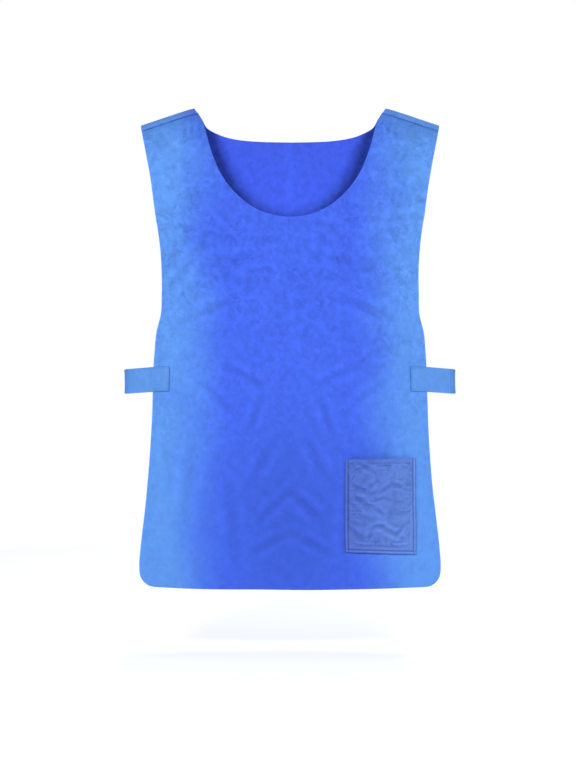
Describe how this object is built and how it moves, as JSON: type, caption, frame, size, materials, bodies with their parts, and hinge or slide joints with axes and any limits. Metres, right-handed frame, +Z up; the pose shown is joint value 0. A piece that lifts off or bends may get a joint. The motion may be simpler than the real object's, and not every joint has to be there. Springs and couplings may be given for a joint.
{
  "type": "cooling vest",
  "caption": "Slip-on cooling vest of soft chamois cloth: front and back panels joined at banded shoulders, a strap round each open side and a slack patch pocket on the front.",
  "frame": {"origin": "on the line where the shoulders carry the vest, midway between the neck ends of the two shoulder seams", "axes": "+Z up, -Y the front of the vest, +X the wearer's left"},
  "size_m": [0.496, 0.179, 0.7107],
  "materials": {
    "panel_cloth": "matte brushed chamois cloth with a soft nap, faint crush marks and small darker flecks",
    "trim_cloth": "matte plain tape of the same cloth, a little paler and smoother",
    "pocket_cloth": "matte thin crumpled cloth, slightly greyer, with soft creases"
  },
  "bodies": {
    "root": {"front_panel": "panel_cloth", "back_panel": "panel_cloth", "shoulder_band_left": "trim_cloth", "shoulder_band_right": "trim_cloth", "side_strap_left": "trim_cloth", "side_strap_right": "trim_cloth", "pocket_patch": "pocket_cloth"}
  },
  "joints": []
}
